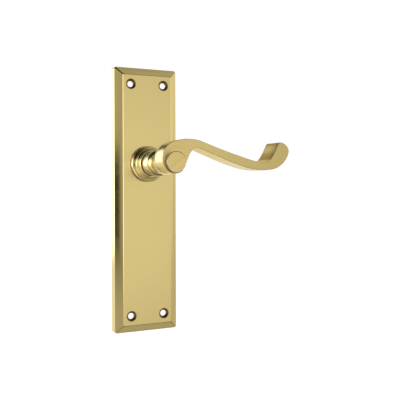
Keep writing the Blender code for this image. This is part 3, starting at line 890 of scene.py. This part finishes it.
def distance(tree, aside, above):
    """How far a place is from the point that its two offsets are taken from."""
    squares = [math_node(tree, "MULTIPLY", value, value) for value in (aside, above)]
    return math_node(tree, "SQRT", math_node(tree, "ADD", *squares))


def mixed(tree, share, one, other):
    """One value that gives way to another as share goes from 0 to 1."""
    node = tree.nodes.new("ShaderNodeMix")
    tree.links.new(share, node.inputs["Factor"])
    tree.links.new(one, node.inputs["A"])
    tree.links.new(other, node.inputs["B"])
    return node.outputs["Result"]


def mixed_tone(tree, share, one, other):
    """One colour that gives way to another. Each is an (r, g, b) or a socket."""
    node = tree.nodes.new("ShaderNodeMix")
    node.data_type = "RGBA"
    tree.links.new(share, node.inputs["Factor"])
    colours = [socket for socket in node.inputs if socket.type == "RGBA"]
    for socket, tone in zip(colours, (one, other)):
        if isinstance(tone, bpy.types.NodeSocket):
            tree.links.new(tone, socket)
        else:
            socket.default_value = (*tone, 1)
    return [socket for socket in node.outputs if socket.type == "RGBA"][0]


def set_tone(tree, shader, tone):
    tree.links.new(tone, shader.inputs["Base Color"])


def set_haze(tree, shader, grain, least, most):
    """Roughness from least to most over the middle of a noise's range."""
    tree.links.new(remap(tree, grain, 0.3, 0.7, least, most), shader.inputs["Roughness"])


def set_bump(tree, shader, height, depth):
    """Relief of the given depth from a noise."""
    node = tree.nodes.new("ShaderNodeBump")
    tree.links.new(height, node.inputs["Height"])
    node.inputs["Distance"].default_value = depth
    tree.links.new(node.outputs["Normal"], shader.inputs["Normal"])


# The turned and cast faces, and the brushed front of the lever
BRASS = (0.80, 0.645, 0.27)
BRASS_WARM = (0.785, 0.62, 0.245)
FRONT_BRASS = (0.77, 0.61, 0.25)
FRONT_BRASS_WARM = (0.67, 0.515, 0.195)
# Painted shade on the scroll beside the disc, and its direction from the spindle's axis
PAINTED_SHADE_BRASS = (0.09, 0.06, 0.022)
PAINTED_SHADE_WAY = math.radians(195)
# Painted shade just inside the curl, darkest by the front edge
CURL_SHADE_BRASS = (0.34, 0.25, 0.1)
# Painted shade for grooves, seats and other recesses beside the polished faces
RECESS_SHADE_BRASS = (0.24, 0.16, 0.055)
RECESS_SHADE_BRASS_DARK = (0.17, 0.11, 0.04)
# The point that the brush lines of the curl run round
CURL_MIDDLE = (73.5 * MM, 14 * MM)


def object_place(tree):
    return tree.nodes.new("ShaderNodeTexCoord").outputs["Object"]


def polished_brass():
    """Buffed brass: a mirror with faint haze, tone drift and slight waves."""
    material, tree, shader = new_material("polished_brass_finish", 0.1)
    place = object_place(tree)
    set_tone(tree, shader, mixed_tone(tree, noise(tree, place, 60), BRASS, BRASS_WARM))
    set_haze(tree, shader, noise(tree, place, 180, 4), 0.08, 0.13)
    set_bump(tree, shader, noise(tree, place, 260, 2), 0.003 * MM)
    return material


def soft_brass():
    """The lever's edges, softer than the plate's, with painted shade just inside the curl."""
    material, tree, shader = new_material("soft_brass_finish", 0.2)
    place = object_place(tree)
    parts = parted(tree, place)
    tone = mixed_tone(tree, noise(tree, place, 60), BRASS, BRASS_WARM)
    front = -ARM_FRONT
    # Painted shade inside the curl: darkest by the front edge, from x 70 mm on and from 1 mm up
    near_front = remap(tree, parts["Y"], front + 8 * MM, front, 0, 0.75)
    along = remap(tree, parts["X"], 70 * MM, 76 * MM, 0, 1)
    above = remap(tree, parts["Z"], 1 * MM, 5 * MM, 0, 1)
    share = math_node(tree, "MULTIPLY", math_node(tree, "MULTIPLY", along, above), near_front)
    set_tone(tree, shader, mixed_tone(tree, share, tone, CURL_SHADE_BRASS))
    set_haze(tree, shader, noise(tree, place, 180, 4), 0.2, 0.26)
    set_bump(tree, shader, noise(tree, place, 260, 2), 0.002 * MM)
    return material


def satin_brass():
    """The plate's panel: a fine even satin, which blurs what it reflects."""
    material, tree, shader = new_material("satin_brass_finish", 0.3)
    place = object_place(tree)
    set_tone(tree, shader, mixed_tone(tree, noise(tree, place, 45), BRASS, BRASS_WARM))
    grain = noise(tree, place, 900, 3)
    set_haze(tree, shader, grain, 0.28, 0.31)
    set_bump(tree, shader, grain, 0.0003 * MM)
    return material


def recess_shade_brass():
    """Dull dark brass that paints shade in the recesses beside the polished faces.

    It is on the screw seats, the groove round the disc, the collar's foot and the neck's throat.
    """
    material, tree, shader = new_material("recess_shade_brass_finish", 0.34)
    place = object_place(tree)
    set_tone(tree, shader, mixed_tone(tree, noise(tree, place, 300), RECESS_SHADE_BRASS, RECESS_SHADE_BRASS_DARK))
    set_bump(tree, shader, noise(tree, place, 900, 3), 0.004 * MM)
    return material


def ring_lines(tree, parts, x, up):
    """Brush lines that run round a point of the lever's face."""
    lines_across, breaks_around = 900, 0.9
    aside = math_node(tree, "SUBTRACT", parts["X"], x)
    above = math_node(tree, "SUBTRACT", parts["Z"], up)
    radius = distance(tree, aside, above)
    turn = math_node(tree, "ARCTAN2", above, aside)
    joined = tree.nodes.new("ShaderNodeCombineXYZ")
    tree.links.new(math_node(tree, "MULTIPLY", radius, lines_across), joined.inputs["X"])
    tree.links.new(math_node(tree, "MULTIPLY", turn, breaks_around), joined.inputs["Y"])
    return noise(tree, joined.outputs["Vector"], 1.0, 2)


def straight_lines(tree, place, slant, scale):
    """Brush lines at an angle to level, in the plane of the lever's face."""
    slanted = mapped(tree, place, "Rotation", (0, math.radians(slant), 0))
    return noise(tree, mapped(tree, slanted, "Scale", scale), 1.0, 2)


def with_painted_shade(tree, parts, tone):
    """The tone with painted shade where the scroll is thinnest, beside the disc on the door's side.
    """
    aside = math_node(tree, "DIVIDE", parts["X"], 9 * MM)
    above = math_node(tree, "DIVIDE", parts["Z"], 9 * MM)
    facing = math_node(tree, "MULTIPLY", aside, math.cos(PAINTED_SHADE_WAY))
    facing = math_node(tree, "MULTIPLY_ADD", above, math.sin(PAINTED_SHADE_WAY), facing)
    near = remap(tree, distance(tree, aside, above), 0.86, 1.4, 1, 0.4)
    near = math_node(tree, "POWER", near, 4.0)
    share = math_node(tree, "MULTIPLY", remap(tree, facing, 0.1, 0.7, 0, 1), near)
    return mixed_tone(tree, share, tone, PAINTED_SHADE_BRASS)


def brushed_brass():
    """Brass brushed round the scroll, along the arm and round the curl, with painted shade beside
    the disc.
    """
    material, tree, shader = new_material("brushed_brass_finish", 0.26)
    place = object_place(tree)
    parts = parted(tree, place)
    straight = straight_lines(tree, place, -17, (18, 300, 900))
    scroll = ring_lines(tree, parts, 0, 0)
    curl = ring_lines(tree, parts, *CURL_MIDDLE)
    past_scroll = remap(tree, parts["X"], 6 * MM, 18 * MM, 0, 1)
    at_curl = remap(tree, parts["X"], 62 * MM, 72 * MM, 0, 1)
    lines = mixed(tree, at_curl, mixed(tree, past_scroll, scroll, straight), curl)
    tone = mixed_tone(tree, lines, FRONT_BRASS, FRONT_BRASS_WARM)
    # The scroll's tone takes painted shade beside the disc, on the door's side
    set_tone(tree, shader, with_painted_shade(tree, parts, tone))
    set_haze(tree, shader, lines, 0.25, 0.29)
    set_bump(tree, shader, lines, 0.0003 * MM)
    return material


def disc_brass():
    """The disc's face, brushed straight across on the slant."""
    material, tree, shader = new_material("disc_brass_finish", 0.26)
    lines = straight_lines(tree, object_place(tree), 35, (30, 300, 1100))
    set_tone(tree, shader, mixed_tone(tree, lines, FRONT_BRASS, FRONT_BRASS_WARM))
    set_haze(tree, shader, lines, 0.22, 0.3)
    set_bump(tree, shader, lines, 0.0003 * MM)
    return material


def plain_metal(name, colour, darker, roughness):
    """An even metal with a fine grain, for the hidden pieces."""
    spread = 0.06
    material, tree, shader = new_material(name, roughness)
    place = object_place(tree)
    set_tone(tree, shader, mixed_tone(tree, noise(tree, place, 140, 4), colour, darker))
    grain = noise(tree, place, 700, 3)
    set_haze(tree, shader, grain, roughness - spread, roughness + spread)
    set_bump(tree, shader, grain, 0.006 * MM)
    return material


def white_nylon():
    """Moulded nylon, a little yellowed, with a faint uneven surface."""
    material, tree, shader = new_material("white_nylon_finish", 0.42, 0.0)
    place = object_place(tree)
    nylon, nylon_dark = (0.80, 0.78, 0.72), (0.74, 0.72, 0.65)
    set_tone(tree, shader, mixed_tone(tree, noise(tree, place, 120), nylon, nylon_dark))
    set_bump(tree, shader, noise(tree, place, 500, 3), 0.01 * MM)
    return material


# ---------------------------------------------------------------- studio

CAMERA_TURN = math.radians(25.967)
CAMERA_ROLL = math.radians(0.183)
CAMERA_AIM = at(49.66 * MM, -14.03 * MM, 0)
CAMERA_DISTANCE = 525.2 * MM
SENSOR = 36
LENS = 58.48
FRAME_DROP = -0.044


def make_camera():
    """A level camera in front of the plate, to the side away from the lever."""
    data = bpy.data.cameras.new("camera")
    data.sensor_width = SENSOR
    data.lens = LENS
    data.shift_y = FRAME_DROP
    data.clip_start, data.clip_end = 0.01, 50
    camera = bpy.data.objects.new("camera", data)
    ahead = Vector((math.sin(CAMERA_TURN), math.cos(CAMERA_TURN), 0))
    camera.location = CAMERA_AIM - ahead * CAMERA_DISTANCE
    camera.rotation_euler = (math.pi / 2, CAMERA_ROLL, -CAMERA_TURN)
    bpy.context.scene.collection.objects.link(camera)
    bpy.context.scene.camera = camera


# What the metal reflects. At each elevation in degrees there are stops of azimuth and
# brightness. Azimuth is 0 straight in front of the plate and positive on the lever's side. A
# third number marks a warm tint, like light off the brass plate.
NEAR_LEVEL = (
    (-180, 0.8, 1), (-172, 1.0), (-165, 1.8), (-159, 2.8), (-120, 2.6), (-104, 0.8), (-61, 0.5),
    (-57, 0.12), (-53, 0.03), (-48, 0.08), (-44, 0.4), (-36, 0.46), (-30, 3.0), (-6, 2.4),
    (8, 0.7), (18, 0.9), (24, 1.13), (34, 0.6), (46, 0.46),
)  # fmt: skip
STUDIO = {
    -65: (
        (-180, 0.3, 1), (-120, 0.5, 1), (-90, 0.8), (-50, 0.4), (0, 0.4), (60, 0.5),
        (180, 0.3, 1),
    ),
    -45: (
        (-180, 0.5, 1), (-150, 0.65, 1), (-120, 0.9, 1), (-85, 1.5), (-50, 0.4), (10, 0.12),
        (60, 0.14), (90, 0.55), (140, 0.7, 1), (172, 0.42, 1),
    ),
    -22: (
        (-180, 0.8, 1), (-150, 0.95, 1), (-120, 1.0, 1), (-70, 1.0), (-52, 0.5), (-10, 0.4),
        (12, 0.1), (50, 0.12), (75, 0.5), (120, 1.0), (155, 1.15), (168, 0.8, 1), (180, 0.8, 1),
    ),
    -11: (
        (-180, 0.8, 1), (-170, 1.0), (-150, 1.05), (-115, 1.2), (-100, 0.6), (-60, 0.5),
        (-38, 0.48), (-30, 0.8), (2, 1.15), (14, 1.2), (26, 1.16), (34, 0.62), (44, 0.46),
        (60, 0.7), (90, 0.58), (120, 0.8), (180, 0.8, 1),
    ),
    -7: (
        (-180, 0.8, 1), (-170, 0.95), (-150, 1.0), (-115, 1.4), (-100, 0.7), (-60, 0.46),
        (-54, 0.3), (-44, 0.3), (-38, 0.4), (-32, 2.2), (-4, 2.0), (10, 1.0), (24, 1.12),
        (34, 0.6), (46, 0.46), (62, 0.9), (90, 0.6), (120, 0.8), (180, 0.8, 1),
    ),
    -5: (*NEAR_LEVEL, (62, 1.4), (90, 0.62), (120, 0.9), (180, 0.8, 1)),
    2: (*NEAR_LEVEL, (62, 1.6), (90, 0.72), (120, 1.0), (180, 0.8, 1)),
    3.7: (
        (-180, 0.7, 1), (-172, 1.0), (-165, 1.9), (-159, 2.8), (-120, 2.6), (-104, 0.8),
        (-61, 0.5), (-54, 0.54), (-49, 0.5), (-43, 0.46), (-36, 0.48), (-31, 3.2), (-6, 2.4),
        (8, 0.72), (18, 0.92), (24, 1.1), (34, 0.6), (46, 0.5), (62, 1.7), (90, 0.78), (120, 1.0),
        (180, 0.7, 1),
    ),
    13: (
        (-180, 0.4, 1), (-173, 0.5, 1), (-168, 2.0), (-159, 2.6), (-120, 2.0), (-100, 0.7),
        (-61, 0.5), (-36, 0.46), (-31, 2.6), (2, 1.6), (14, 0.87), (30, 0.78), (45, 1.0),
        (90, 0.85), (120, 1.0), (155, 0.7, 1), (170, 0.45, 1), (180, 0.4, 1),
    ),
    20: (
        (-180, 0.03), (-174, 0.03), (-169, 1.8), (-158, 1.8), (-110, 0.8), (-60, 0.2),
        (-35, 0.03), (2, 0.03), (14, 0.4), (40, 0.5), (120, 0.8), (158, 0.75, 1), (170, 0.6, 1),
        (176, 0.03), (180, 0.03),
    ),
    26: (
        (-180, 0.03), (-174, 0.03), (-168, 0.6), (-150, 0.6), (-110, 0.3), (-60, 0.03),
        (8, 0.02), (25, 0.15), (45, 0.25), (60, 0.5), (120, 0.8), (158, 0.7, 1), (172, 0.5, 1),
        (177, 0.03), (180, 0.03),
    ),
    30: (
        (-180, 0.42, 1), (-165, 0.5, 1), (-150, 0.55, 1), (-110, 0.2), (-60, 0.03), (10, 0.02),
        (25, 0.1), (50, 0.25), (70, 0.45), (120, 0.8), (160, 0.6, 1), (180, 0.42, 1),
    ),
    44: (
        (-180, 0.26, 1), (-150, 0.3, 1), (-120, 0.1), (-100, 0.03), (14, 0.02), (30, 0.1),
        (55, 0.3), (80, 0.45), (120, 0.5), (160, 0.35, 1), (180, 0.32, 1),
    ),
    62: (
        (-180, 0.2, 1), (-140, 0.16, 1), (-120, 0.05), (0, 0.03), (30, 0.25), (50, 0.5), (90, 0.5),
        (180, 0.2, 1),
    ),
    85: ((-180, 0.28, 1), (180, 0.28, 1)),
}  # fmt: skip
STUDIO_WARM = (1, 0.86, 0.48)
BACKDROP = 1.05


def light_band(tree, azimuth, stops):
    """The light all the way round at one elevation."""
    band = tree.nodes.new("ShaderNodeValToRGB")
    tree.links.new(azimuth, band.inputs["Fac"])
    ramp = band.color_ramp
    while len(ramp.elements) < len(stops):
        ramp.elements.new(0.5)
    for element, (angle, bright, *warmth) in zip(ramp.elements, stops):
        element.position = (angle + 180) / 360
        tint = STUDIO_WARM if warmth else (1, 1, 1)
        element.color = (*(bright * share for share in tint), 1)
    return band.outputs["Color"]


def studio_world():
    """Soft light all round. The camera itself sees only a plain white surround."""
    world = bpy.data.worlds.new("studio")
    bpy.context.scene.world = world
    world.use_nodes = True
    tree = world.node_tree
    tree.nodes.clear()
    parts = parted(tree, tree.nodes.new("ShaderNodeTexCoord").outputs["Generated"])
    ahead = math_node(tree, "MULTIPLY", parts["Y"], -1.0)
    azimuth = math_node(tree, "ARCTAN2", parts["X"], ahead)
    azimuth = remap(tree, azimuth, -math.pi, math.pi, 0, 1)
    elevation = math_node(tree, "ARCSINE", parts["Z"])
    light, below = None, None
    for level, stops in sorted(STUDIO.items()):
        band = light_band(tree, azimuth, stops)
        if light is None:
            light = band
        else:
            share = remap(tree, elevation, math.radians(below), math.radians(level), 0, 1)
            light = mixed_tone(tree, share, light, band)
        below = level
    around = tree.nodes.new("ShaderNodeBackground")
    tree.links.new(light, around.inputs["Color"])
    plain = tree.nodes.new("ShaderNodeBackground")
    plain.inputs["Color"].default_value = (1, 1, 1, 1)
    plain.inputs["Strength"].default_value = BACKDROP
    chosen = tree.nodes.new("ShaderNodeMixShader")
    seen = tree.nodes.new("ShaderNodeLightPath").outputs["Is Camera Ray"]
    tree.links.new(seen, chosen.inputs[0])
    tree.links.new(around.outputs[0], chosen.inputs[1])
    tree.links.new(plain.outputs[0], chosen.inputs[2])
    output = tree.nodes.new("ShaderNodeOutputWorld")
    tree.links.new(chosen.outputs[0], output.inputs["Surface"])


def make_floor():
    """A pale floor below the plate's lower end, which the metal doesn't mirror."""
    shape = bmesh.new()
    half, gap = 6, 90 * MM
    level = PLATE_LOW.z - gap
    corners = [(-half, -half), (half, -half), (half, half), (-half, half)]
    shape.faces.new([shape.verts.new((x, y, level)) for x, y in corners])
    floor = make_object("floor", shape)
    material, tree, shader = new_material("pale_floor", 0.8, 0.0)
    pale, paler = (0.9, 0.9, 0.9), (0.92, 0.92, 0.91)
    set_tone(tree, shader, mixed_tone(tree, noise(tree, object_place(tree), 3), paler, pale))
    add_finishes(floor, material)
    floor.visible_glossy = False


def make_lights():
    """A soft overhead light for the floor, which the polished metal doesn't mirror."""
    data = bpy.data.lights.new("overhead", "SUN")
    data.energy = 3.2
    data.angle = math.radians(60)
    light = bpy.data.objects.new("overhead", data)
    light.rotation_euler = (math.radians(-12), math.radians(10), 0)
    light.visible_glossy = False
    bpy.context.scene.collection.objects.link(light)


# ---------------------------------------------------------------- the scene

bpy.context.scene.view_settings.view_transform = "Standard"
make_camera()
studio_world()
make_floor()
make_lights()

polished = polished_brass()
satin = satin_brass()
recess_shade = recess_shade_brass()
brushed = brushed_brass()
disc_face = disc_brass()
soft = soft_brass()
plated = plain_metal("plated_steel_finish", (0.66, 0.67, 0.69), (0.58, 0.59, 0.62), 0.3)
spring_wire = plain_metal("spring_steel_finish", (0.36, 0.36, 0.37), (0.28, 0.28, 0.30), 0.3)
blackened = plain_metal("blackened_steel_finish", (0.06, 0.06, 0.07), (0.04, 0.04, 0.05), 0.4)
nylon = white_nylon()

make_backplate(polished, satin, recess_shade)
make_collar(polished, recess_shade)
make_neck(polished, disc_face, recess_shade)
make_arm(brushed, soft, recess_shade)
make_bush(nylon)
make_thrust_washer(nylon)
make_wave_washer(spring_wire)
make_spindle(plated)
make_grub_screw(blackened)
make_pins(plated)
make_cover_screws(plated)
make_spring(spring_wire)
refine_sheet("spring_tray", plated, 0.3)
refine_sheet("mechanism_cover", plated, 0.2)
refine_sheet("drive_plate", plated, 0.2)
refine_sheet("circlip", spring_wire, 0.1)
